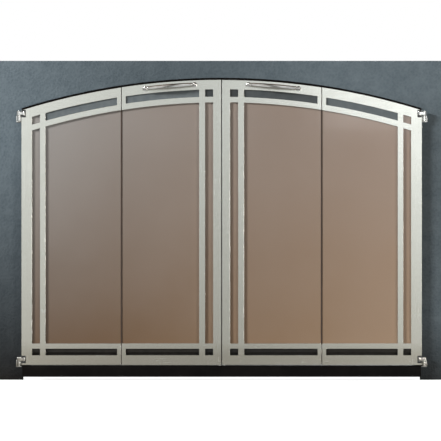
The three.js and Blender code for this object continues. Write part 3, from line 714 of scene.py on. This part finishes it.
def fold_seal(pair, side):
    """A T-section seal on the inner panel that closes the fold gap: its web fills the slit between
    the rails, and its flange lies behind the panes' edges."""
    inner_edge = far_edge(f"{pair}_inner_subframe", side)
    outer_edge = near_edge(f"{pair}_outer_subframe", side)
    glass_back = high(f"{pair}_inner_glass").y
    glass_bottom = low(f"{pair}_inner_glass").z
    front = low(f"{pair}_inner_subframe").y + 0.8 * MM
    bottom = low(f"{pair}_inner_subframe").z + 1 * MM
    top = arch_height(DOOR_ARCH - 1 * MM, outer_edge)
    flange_top = arch_height(SEAL_FLANGE_ARCH, outer_edge) - SEAL_FLANGE_BELOW_ARCH
    web = box(
        (side * (inner_edge + FIT_GAP), front, bottom),
        (side * (outer_edge - FIT_GAP), high(f"{pair}_inner_subframe").y - 0.4 * MM, top), 0.2 * MM,
    )
    flange = box(
        (side * (inner_edge - SEAL_FLANGE_OVERLAP), glass_back + 0.2 * MM, glass_bottom + SEAL_FLANGE_RISE),
        (side * (outer_edge + 2 * MM), glass_back + 1.4 * MM, flange_top), 0.3 * MM,
    )
    show(f"{pair}_fold_seal", union([web, flange]), [FOLD_SEAL], f"{pair}_inner_panel")


def centre_shade_seal():
    """A dark silicone seal on the left pair's meeting edge, with a fin behind the right pair's edge; its
    near-black colour is painted shade, standing in for the shade seen through the gap between the doors. As
    either pair starts to open its free edge first moves 0.44 mm towards the other, so the web stops short of
    the right pair and the fin stands off its back."""
    left_edge = high("left_inner_subframe").x + JOIN_INSET
    right_edge = low("right_inner_subframe").x
    front, back = low("left_inner_subframe").y + 1 * MM, high("left_inner_subframe").y
    bottom = low("left_inner_subframe").z + 1 * MM
    catch_bottom = low("magnet_catch").z
    fin_front = back + FIN_STAND_OFF
    fin_top = catch_bottom - 1 * MM
    web = box(
        (left_edge, front, bottom),
        (right_edge - MEETING_CLEARANCE, back - FIT_GAP, catch_bottom + CENTRE_SHADE_SEAL_RISE), 0.2 * MM,
    )
    stem = box(
        (left_edge, back - 1 * MM, bottom),
        (right_edge - MEETING_CLEARANCE, fin_front + FIN_THICKNESS / 2, fin_top),
    )
    fin = box(
        (left_edge, fin_front, bottom),
        (right_edge + FIN_OVERLAP, fin_front + FIN_THICKNESS, fin_top), 0.12 * MM,
    )
    show("centre_shade_seal", union([web, stem, fin]), [CENTRE_SHADE_SEAL], "left_inner_panel")


# ---------------------------------------------------------------- corner hinges

def hinge_post(pair, side, place):
    """The fixed half: a base on the plate, a web, a barrel with rounded rims and the lift-off pin."""
    node = f"{pair}_{place}_hinge_post"
    leaf = f"{pair}_{place}_hinge_leaf"
    level = low(leaf).z
    reach = far_edge(node, side) - HINGE_BASE_FAR
    axis_y = low(node).y + HINGE_RADIUS
    bottom = level - HINGE_POST_HEIGHT
    top = level - FIT_GAP
    root, tip = bottom + HINGE_PIN_ROOT, level + HINGE_PIN_RISE
    barrel = rod(HINGE_RADIUS, bottom, top, HINGE_RIM, side * reach, axis_y)
    pin = rod(HINGE_PIN_RADIUS, root, tip, 0.6 * MM, side * reach, axis_y)
    web = box(
        (side * (reach - HINGE_WEB_HALF), axis_y, bottom + 0.4 * MM),
        (side * (reach + HINGE_WEB_HALF), -1 * MM, top - 0.4 * MM), 0.8 * MM,
    )
    base = box(
        (side * (reach - HINGE_BASE_NEAR), -HINGE_BASE_DEPTH, bottom - HINGE_BASE_PAST),
        (side * (reach + HINGE_BASE_FAR), -FIT_GAP, level + HINGE_BASE_PAST), 1.0 * MM, 3,
    )
    show(f"{node}_shown", union([barrel, pin, web, base]), [CHROME], "frame", [node])


def hinge_leaf(pair, side, place):
    """The moving half: a knuckle, a narrow neck and a half-round boss on the overlay."""
    node = f"{pair}_{place}_hinge_leaf"
    level = low(node).z
    top = high(node).z
    centre = (level + top) / 2
    reach = far_edge(node, side) - HINGE_RADIUS
    back = high(node).y
    axis_y = back - HINGE_RADIUS
    seat = low(f"{pair}_outer_overlay").y - FIT_GAP
    neck_front = seat - NECK_DEPTH
    nose_y = neck_front + HINGE_RADIUS
    boss_x = side * BOSS_REACH
    knuckle = rod(HINGE_RADIUS, level, top, HINGE_RIM, side * reach, axis_y)
    nose = rod(HINGE_RADIUS, level, top, HINGE_RIM, side * reach, nose_y)
    cheek = box(
        (side * (reach - HINGE_RADIUS + JOIN_INSET), nose_y, level + JOIN_INSET),
        (side * (reach + HINGE_RADIUS - JOIN_INSET), axis_y, top - JOIN_INSET), HINGE_RIM, 4,
    )
    neck = box(
        (boss_x, neck_front + 0.1 * MM, centre - NECK_HEIGHT / 2),
        (side * (reach - 2 * MM), seat, centre + NECK_HEIGHT / 2), 0.8 * MM, 3,
    )
    boss = rod(BOSS_RADIUS, centre - BOSS_HEIGHT / 2, centre + BOSS_HEIGHT / 2, BOSS_RIM, boss_x, seat)
    bmesh.ops.bisect_plane(
        boss, geom=boss.verts[:] + boss.edges[:] + boss.faces[:],
        plane_co=(0, seat, 0), plane_no=(0, 1, 0), clear_outer=True,
    )
    rim = [e for e in boss.edges if e.is_boundary]
    bmesh.ops.contextual_create(boss, geom=rim)
    bmesh.ops.recalc_face_normals(boss, faces=boss.faces)
    bore = rod(
        HINGE_PIN_RADIUS + FIT_GAP, level - BORE_PAST, level + HINGE_PIN_RISE + 2 * FIT_GAP, 0.4 * MM,
        side * reach, axis_y,
    )
    whole = union([knuckle, nose, cheek, neck, boss], [bore])
    show(f"{node}_shown", whole, [CHROME], f"{pair}_outer_panel", [node])


def hinge_shade_sheet(pair, side, place):
    """A thin black sheet between the leaf's neck and the overlay: painted shade, a dark thing put where the
    hinge leaves only shade.
    """
    leaf = f"{pair}_{place}_hinge_leaf"
    panel = f"{pair}_outer_overlay"
    centre = middle(leaf).z
    front = low(panel).y
    edge = far_edge(panel, side)
    bottom = max(centre - SHADE_SHEET_HALF_HEIGHT, low(panel).z + SHADE_SHEET_MARGIN)
    top = centre + SHADE_SHEET_HALF_HEIGHT - SHADE_SHEET_MARGIN
    shade_sheet = box(
        (side * (edge - SHADE_SHEET_WIDTH), front - SHADE_SHEET_THICKNESS, bottom),
        (side * (edge - SHADE_SHEET_MARGIN / 2), front - SHADE_SHEET_THICKNESS / 10, top),
        SHADE_SHEET_THICKNESS / 4,
    )
    show(f"{pair}_{place}_hinge_shade_sheet", shade_sheet, [PLASTIC], f"{pair}_outer_panel")


# ---------------------------------------------------------------- fold hinges

def fold_leaf(node, pair, kind, side, knuckles):
    """A leaf of a fold hinge: a flat plate and its knuckles round the pin's axis."""
    pin = middle(node.replace(f"_{kind}_leaf", "_pin"))
    level = low(node).z
    back = low(node).y
    plate_back = back + LEAF_THICKNESS
    away = 1 if kind == "outer" else -1
    reach = abs(pin.x)
    plate = box(
        (side * (reach + away * LEAF_NEAR), back, level),
        (side * (reach + away * LEAF_FAR), plate_back, high(node).z), 0.4 * MM,
    )
    parts = [plate]
    for bottom, top in knuckles:
        parts.append(rod(KNUCKLE_RADIUS, level + bottom, level + top, 0.5 * MM, pin.x, pin.y))
        parts.append(box(
            (side * reach, pin.y - KNUCKLE_RADIUS + JOIN_INSET, level + bottom + 0.1 * MM),
            (side * (reach + away * LEAF_STRAP), plate_back - JOIN_INSET, level + top - 0.1 * MM), 0.3 * MM,
        ))
    bore = rod(FOLD_BORE_RADIUS, level - BORE_PAST, high(node).z + BORE_PAST, 0.2 * MM, pin.x, pin.y)
    show(f"{node}_shown", union(parts, [bore]), [ZINC], f"{pair}_{kind}_panel", [node])


def fold_hinge(pair, side, place):
    name = f"{pair}_{place}_fold_hinge"
    level = low(f"{name}_outer_leaf").z
    height = high(f"{name}_outer_leaf").z - level
    share = FOLD_OUTER_KNUCKLE
    fold_leaf(f"{name}_outer_leaf", pair, "outer", side, [(0, share), (height - share, height)])
    fold_leaf(f"{name}_inner_leaf", pair, "inner", side, [(share + FIT_GAP, height - share - FIT_GAP)])
    pin = middle(f"{name}_pin")
    top = high(f"{name}_pin").z
    profile = [
        (0, level - FIT_GAP),
        (FOLD_PIN_RADIUS, level - FIT_GAP),
        (FOLD_PIN_RADIUS, top - FOLD_HEAD_HEIGHT - 0.1 * MM),
        (FOLD_HEAD_RADIUS, top - FOLD_HEAD_HEIGHT),
        *fillet(FOLD_HEAD_RADIUS - FOLD_HEAD_ROUND, top - FOLD_HEAD_ROUND, FOLD_HEAD_ROUND, 0, 90),
        (0, top),
    ]
    bm = turned(profile, SMALL_SEGMENTS, Matrix.Translation((pin.x, pin.y, 0)))
    show(f"{name}_pin_shown", bm, [ZINC], f"{pair}_outer_panel", [f"{name}_pin"])


# ---------------------------------------------------------------- guide pins, catch, clamps

def guide_pin(pair):
    node = f"{pair}_guide_pin"
    bottom, top = low(node).z, high(node).z
    collar = bottom + GUIDE_COLLAR_RISE
    collar_top = collar + GUIDE_COLLAR_HEIGHT
    rim = GUIDE_COLLAR_RADIUS - GUIDE_COLLAR_ROUND
    profile = [
        (0, bottom),
        *fillet(GUIDE_RADIUS - GUIDE_TAIL, bottom + GUIDE_TAIL, GUIDE_TAIL, -90, 0),
        (GUIDE_RADIUS, collar),
        *fillet(rim, collar + GUIDE_COLLAR_ROUND, GUIDE_COLLAR_ROUND, -90, 0, 3),
        *fillet(rim, collar_top - GUIDE_COLLAR_ROUND, GUIDE_COLLAR_ROUND, 0, 90, 3),
        (GUIDE_RADIUS, collar_top),
        (GUIDE_RADIUS, top),
        (0, top),
    ]
    place = Matrix.Translation((middle(node).x, middle(node).y, 0))
    bm = turned(profile, SMALL_SEGMENTS, place)
    show(f"{node}_shown", bm, [ZINC], f"{pair}_inner_panel", [node])


def magnet_catch():
    """The catch's housing, with two steel pole strips let into its face for each door."""
    dress("magnet_catch", PLASTIC, CATCH_EDGE)
    face = low("magnet_catch").y
    bottom, top = low("magnet_catch").z, high("magnet_catch").z
    poles = []
    for x in (-POLE_REACH, POLE_REACH):
        for z in (bottom + POLE_INSET, top - POLE_INSET):
            poles.append(box(
                (x - POLE_HALF_LENGTH, face - POLE_PROUD, z - POLE_HALF_HEIGHT),
                (x + POLE_HALF_LENGTH, face + POLE_DEPTH, z + POLE_HALF_HEIGHT), POLE_PROUD,
            ))
    show("magnet_poles", gather(poles), [ZINC], "frame")


def socket_corner(radius, angle, depth):
    """A point on the hexagon of a screw's socket."""
    across = radius * SOCKET_SHARE / math.cos((angle % (math.pi / 3)) - math.pi / 6)
    return across * math.cos(angle), across * math.sin(angle), depth


def socket_screw(radius, height, place):
    """A button-head screw with a hexagon socket, its head facing +Z before it is placed."""
    bm = bmesh.new()
    profile = [
        (radius, -SCREW_ROOT),
        (radius, 0.0),
        (radius, height * 0.35),
        (radius * 0.86, height * 0.8),
        (radius * 0.55, height),
    ]
    rings = []
    for reach, level in profile:
        rings.append(ring_of(bm, SMALL_SEGMENTS, lambda a: (reach * math.cos(a), reach * math.sin(a), level)))
    for depth in (height, height * 0.25):
        rings.append(ring_of(bm, SMALL_SEGMENTS, lambda a: socket_corner(radius, a, depth)))
    join_rings(bm, rings)
    bm.faces.new(list(reversed(rings[0])))
    bm.faces.new(rings[-1])
    bmesh.ops.recalc_face_normals(bm, faces=bm.faces)
    bm.transform(place)
    return bm


FACING_BACK = Matrix.Rotation(-math.pi / 2, 4, "X")


def screws_on_panel(pair, side, kind):
    """The screws behind one panel: two in each fold leaf, four in each glass retainer, and two nearly
    flush ones in the strike."""
    name = f"{pair}_{kind}"
    spots = []
    flush_spots = []
    for place in ("top", "bottom"):
        leaf = f"{pair}_{place}_fold_hinge_{kind}_leaf"
        away = 1 if kind == "outer" else -1
        pin_reach = abs(middle(f"{pair}_{place}_fold_hinge_pin").x)
        leaf_x = side * (pin_reach + away * LEAF_SCREW_REACH)
        for z in (low(leaf).z + LEAF_SCREW_INSET, high(leaf).z - LEAF_SCREW_INSET):
            spots.append((leaf_x, z))
        strip = f"{name}_{place}_glass_retainer"
        start, end = low(strip).x + RETAINER_SCREW_INSET, high(strip).x - RETAINER_SCREW_INSET
        for i in range(RETAINER_SCREWS):
            x = start + (end - start) * i / (RETAINER_SCREWS - 1)
            if place == "bottom":
                spots.append((x, low(strip).z + RETAINER_SCREW_RISE))
            else:
                spots.append((x, arch_height(RETAINER_SCREW_ARCH, x)))
    if kind == "inner":
        strike = f"{pair}_strike_plate"
        for z in (low(strike).z + STRIKE_SCREW_INSET, high(strike).z - STRIKE_SCREW_INSET):
            flush_spots.append((side * (abs(middle(strike).x) + STRIKE_SCREW_OFFSET), z))
    heads = [
        socket_screw(SCREW_RADIUS, height, Matrix.Translation((x, LEAF_BACK, z)) @ FACING_BACK)
        for height, places in ((SCREW_HEIGHT, spots), (FLUSH_SCREW_HEIGHT, flush_spots))
        for x, z in places
    ]
    show(f"{name}_screws", gather(heads), [ZINC], f"{name}_panel")


def lintel_clamp(pair, side):
    """The clamp, and the hexagon bolt that draws it up under the header."""
    node = f"{pair}_lintel_clamp"
    dress(node, ZINC, CLAMP_EDGE)
    slope = math.asin(CLAMP_REACH / HEADER_INNER_ARCH)
    tilt = Matrix.Translation((0, 0, ARCH_CENTRE_Z)) @ Matrix.Rotation(side * slope, 4, "Y")
    head = turned([
        (0, 0),
        (BOLT_CHAMFER_RADIUS, 0),
        (BOLT_HEAD_RADIUS, BOLT_CHAMFER),
        (BOLT_HEAD_RADIUS, BOLT_HEAD_HEIGHT),
        (0, BOLT_HEAD_HEIGHT),
    ], 6)
    washer = turned([
        (0, 0),
        (WASHER_RADIUS, 0),
        (WASHER_RADIUS, WASHER_THICKNESS),
        (0, WASHER_THICKNESS),
    ])
    head.transform(tilt @ Matrix.Translation((0, BOLT_Y, CLAMP_UNDERSIDE_ARCH - BOLT_BELOW_CLAMP)))
    washer.transform(tilt @ Matrix.Translation((0, BOLT_Y, CLAMP_UNDERSIDE_ARCH - WASHER_BELOW_CLAMP)))
    bolt = gather([rounded(head, BOLT_EDGE), rounded(washer, BOLT_EDGE)])
    show(f"{pair}_clamp_bolt", bolt, [ZINC], "frame")


# ---------------------------------------------------------------- handles

def handle_section(x):
    """Half height and half depth of the bar at a distance from its middle: bar, collar, neck, ball."""
    from_end = HANDLE_HALF - abs(x)
    if from_end < BALL_TO_NECK:
        ball = math.sqrt(max(BALL_RADIUS ** 2 - from_end ** 2, 0.0))
        return ball, ball
    from_collar = abs(from_end - COLLAR_INSET)
    if from_collar < COLLAR_HALF_WIDTH:
        swelling = math.sqrt(max(COLLAR_HALF_WIDTH ** 2 - from_collar ** 2, 0.0))
        bead = COLLAR_RADIUS - COLLAR_HALF_WIDTH + swelling
        return bead, bead
    if from_end < COLLAR_INSET:
        return NECK_RADIUS, NECK_RADIUS
    along = min((from_end - COLLAR_INSET) / (HANDLE_HALF - COLLAR_INSET), 1.0)
    swell = math.sin(along * math.pi / 2)
    return (3.7 + 1.1 * swell) * MM, (3.1 + 0.4 * swell) * MM


def handle_stations():
    """Distances along the bar, close together where its section changes."""
    ball = [HANDLE_HALF + BALL_RADIUS * math.cos(math.radians(a)) for a in range(6, 132, 9)]
    neck = [HANDLE_HALF - d * MM for d in NECK_STATIONS]
    collar_x = HANDLE_HALF - COLLAR_INSET
    collar = [collar_x + COLLAR_HALF_WIDTH * math.cos(math.radians(a)) for a in range(0, 181, 20)]
    bar_end = collar_x - COLLAR_HALF_WIDTH - 0.1 * MM
    bar = [bar_end * (1 - i / HANDLE_STEPS) for i in range(HANDLE_STEPS)]
    half = ball + neck + collar + bar
    return half + [0.0] + [-x for x in reversed(half)]


def handle_bar(place):
    """The bowed bar as one smooth sweep of ovals."""
    bm = bmesh.new()
    rings = []
    for x in handle_stations():
        tall, deep = handle_section(x)
        y = HANDLE_END_Y - HANDLE_BOW * (1 - min(abs(x) / HANDLE_HALF, 1.0) ** 2)
        rings.append(ring_of(bm, HANDLE_SIDES, lambda a: (x, y + deep * math.cos(a), tall * math.sin(a))))
    join_rings(bm, rings)
    for ring, tip in ((rings[0], HANDLE_HALF + BALL_RADIUS), (rings[-1], -HANDLE_HALF - BALL_RADIUS)):
        point = bm.verts.new((tip, HANDLE_END_Y, 0))
        for i in range(HANDLE_SIDES):
            bm.faces.new((ring[i], ring[(i + 1) % HANDLE_SIDES], point))
    bmesh.ops.recalc_face_normals(bm, faces=bm.faces)
    bm.transform(place)
    return bm


def handle_post(end, place):
    """A turned post with a rounded foot on the overlay and a slight waist."""
    foot = HANDLE_FOOT_Y
    tip = -HANDLE_END_Y - BALL_RADIUS - FIT_GAP
    profile = [
        (0, foot),
        (HANDLE_FOOT_RADIUS, foot),
        *fillet(HANDLE_FOOT_RADIUS - HANDLE_FOOT_ROUND, foot + 0.9 * MM, HANDLE_FOOT_ROUND, 0, 90),
        (4.1 * MM, foot + 2.4 * MM),
        (3.3 * MM, foot + 4.2 * MM),
        (POST_WAIST_RADIUS, foot + 6.5 * MM),
        (3.4 * MM, tip - 0.3 * MM),
        (POST_WAIST_RADIUS, tip),
        (0, tip),
    ]
    upright = Matrix.Rotation(math.pi / 2, 4, "X")
    return turned(profile, 32, place @ Matrix.Translation((end * HANDLE_HALF, 0, 0)) @ upright)


def handle(pair, side):
    slope = math.asin(HANDLE_REACH / HANDLE_ARCH)
    origin = Vector((side * HANDLE_REACH, 0, arch_height(HANDLE_ARCH, HANDLE_REACH)))
    place = Matrix.Translation(origin) @ Matrix.Rotation(side * slope, 4, "Y")
    body = f"{pair}_inner_panel"
    for name, bm in (
        ("bar", handle_bar(place)),
        ("near_post", handle_post(-side, place)),
        ("far_post", handle_post(side, place)),
    ):
        node = f"{pair}_handle_{name}"
        show(f"{node}_shown", bm, [CHROME], body, [node])


# ---------------------------------------------------------------- stage

def stage_floor():
    """A wide pale floor that the camera sees but that throws no light back on the doors."""
    bm = bmesh.new()
    bmesh.ops.create_grid(bm, x_segments=1, y_segments=1, size=30)
    mesh = bpy.data.meshes.new("floor")
    bm.to_mesh(mesh)
    bm.free()
    paint = Paint("pale_floor", Roughness=0.9, Metallic=0.0)
    paint.to_shader("Base Color", colour(0.7, 0.7, 0.7))
    paint.shader.inputs["Emission Color"].default_value = colour(1, 1, 1)
    paint.shader.inputs["Emission Strength"].default_value = 0.8
    mesh.materials.append(paint.material)
    floor = bpy.data.objects.new("floor", mesh)
    scene.collection.objects.link(floor)
    floor.location.z = -FLOOR_DROP
    floor.visible_diffuse = False
    floor.visible_glossy = False
    floor.visible_transmission = False


def softbox(name, place, target, width, height, power, tint):
    data = bpy.data.lights.new(name, "AREA")
    data.shape = "RECTANGLE"
    data.size = width
    data.size_y = height
    data.energy = power
    data.color = tint
    light = bpy.data.objects.new(name, data)
    light.location = place
    light.rotation_mode = "QUATERNION"
    light.rotation_quaternion = (Vector(target) - Vector(place)).to_track_quat("-Z", "Y")
    scene.collection.objects.link(light)
    return light


class Sky:
    """The world's nodes: colours picked by ray kind and by direction."""

    def __init__(self, tree):
        self.tree = tree
        parts = tree.nodes.new("ShaderNodeSeparateXYZ")
        direction = tree.nodes.new("ShaderNodeTexCoord")
        tree.links.new(direction.outputs["Generated"], parts.inputs["Vector"])
        self.parts = parts.outputs
        self.ray = tree.nodes.new("ShaderNodeLightPath").outputs

    def ramp(self, value, from_low, from_high, to_low, to_high):
        made = self.tree.nodes.new("ShaderNodeMapRange")
        made.interpolation_type = "SMOOTHSTEP"
        self.tree.links.new(value, made.inputs["Value"])
        made.inputs["From Min"].default_value = from_low
        made.inputs["From Max"].default_value = from_high
        made.inputs["To Min"].default_value = to_low
        made.inputs["To Max"].default_value = to_high
        return made.outputs["Result"]

    def size_of(self, value):
        made = self.tree.nodes.new("ShaderNodeMath")
        made.operation = "ABSOLUTE"
        self.tree.links.new(value, made.inputs[0])
        return made.outputs[0]

    def mix(self, factor, first, second, blend_type="MIX"):
        made = self.tree.nodes.new("ShaderNodeMix")
        made.data_type = "RGBA"
        made.blend_type = blend_type
        for name, value in (("Factor", factor), ("A", first), ("B", second)):
            socket = made.inputs[name]
            if isinstance(value, bpy.types.NodeSocket):
                self.tree.links.new(value, socket)
            else:
                socket.default_value = value
        return made.outputs["Result"]


def studio_world():
    """White behind everything, graded brown through the glass, and for reflections a soft room that
    is bright above and at its sides, dim at eye level below, and lit again near the floor."""
    world = bpy.data.worlds.new("studio")
    world.use_nodes = True
    scene.world = world
    sky = Sky(world.node_tree)
    x, z = sky.parts["X"], sky.parts["Z"]
    low_wall, high_wall = colour(0.13, 0.105, 0.07), colour(0.53, 0.545, 0.54)
    upper = sky.mix(sky.ramp(z, -0.15, 0.07, 0.0, 1.0), low_wall, high_wall)
    above = sky.mix(sky.ramp(z, 0.22, 0.4, 0.0, 1.0), upper, colour(0.11, 0.085, 0.07))
    near_floor = sky.mix(sky.ramp(z, -0.36, -0.52, 0.0, 1.0), above, colour(0.36, 0.36, 0.35))
    middle_wall, bright_left = colour(0.75, 0.75, 0.73), colour(2.6, 2.62, 2.62)
    left_wall = sky.mix(sky.ramp(x, -0.065, -0.125, 0.0, 1.0), middle_wall, bright_left)
    walls = sky.mix(sky.ramp(x, 0.035, 0.11, 0.0, 1.0), left_wall, colour(2.25, 2.32, 2.36))
    beyond = sky.mix(sky.ramp(sky.size_of(x), 0.34, 0.48, 0.0, 1.0), walls, colour(0.9, 0.9, 0.9))
    room = sky.mix(1.0, near_floor, beyond, "MULTIPLY")
    room = sky.mix(sky.ray["Is Diffuse Ray"], room, colour(0.15, 0.15, 0.15))
    behind = sky.mix(sky.ramp(x, -0.13, 0.13, 0.0, 1.0), colour(0.50, 0.48, 0.46), colour(0.72, 0.67, 0.62))
    through = sky.mix(sky.ray["Is Transmission Ray"], room, behind)
    seen = sky.mix(sky.ray["Is Camera Ray"], through, colour(1, 1, 1))
    world.node_tree.links.new(seen, world.node_tree.nodes["Background"].inputs["Color"])


def studio():
    stage_floor()
    studio_world()
    softbox("left_softbox", (-3.2, -2.6, 2.1), (0, 0, 0.5), 1.3, 0.5, 215, (0.98, 0.99, 1.0))
    softbox("right_softbox", (2.4, -2.7, 0.3), (0.25, 0, 0.3), 0.9, 0.9, 52, (1.0, 0.95, 0.88))
    softbox("window", (0.95, -4.4, 1.15), (0.3, 0, 0.7), 0.8, 0.5, 2.2, (1.0, 1.0, 1.0))
    softbox("back_softbox", (0.9, 2.8, 1.7), (0, 0, 0.4), 1.4, 1.4, 60, (0.98, 0.99, 1.0))
    scene.view_settings.view_transform = "Standard"


def camera():
    data = bpy.data.cameras.new("camera")
    data.sensor_width = 36
    data.lens = CAMERA_LENS
    data.clip_end = 100
    eye = bpy.data.objects.new("camera", data)
    eye.location = CAMERA_PLACE
    eye.rotation_euler = (math.pi / 2, 0, 0)
    scene.collection.objects.link(eye)
    scene.camera = eye


# ---------------------------------------------------------------- the whole

dress_frame()
dress_panels()
magnet_catch()
centre_shade_seal()
for pair, side in SIDES.items():
    fold_seal(pair, side)
    lintel_clamp(pair, side)
    guide_pin(pair)
    for place in ("top", "bottom"):
        hinge_post(pair, side, place)
        hinge_leaf(pair, side, place)
        hinge_shade_sheet(pair, side, place)
        fold_hinge(pair, side, place)
    for kind in ("outer", "inner"):
        screws_on_panel(pair, side, kind)
    handle(pair, side)
studio()
camera()
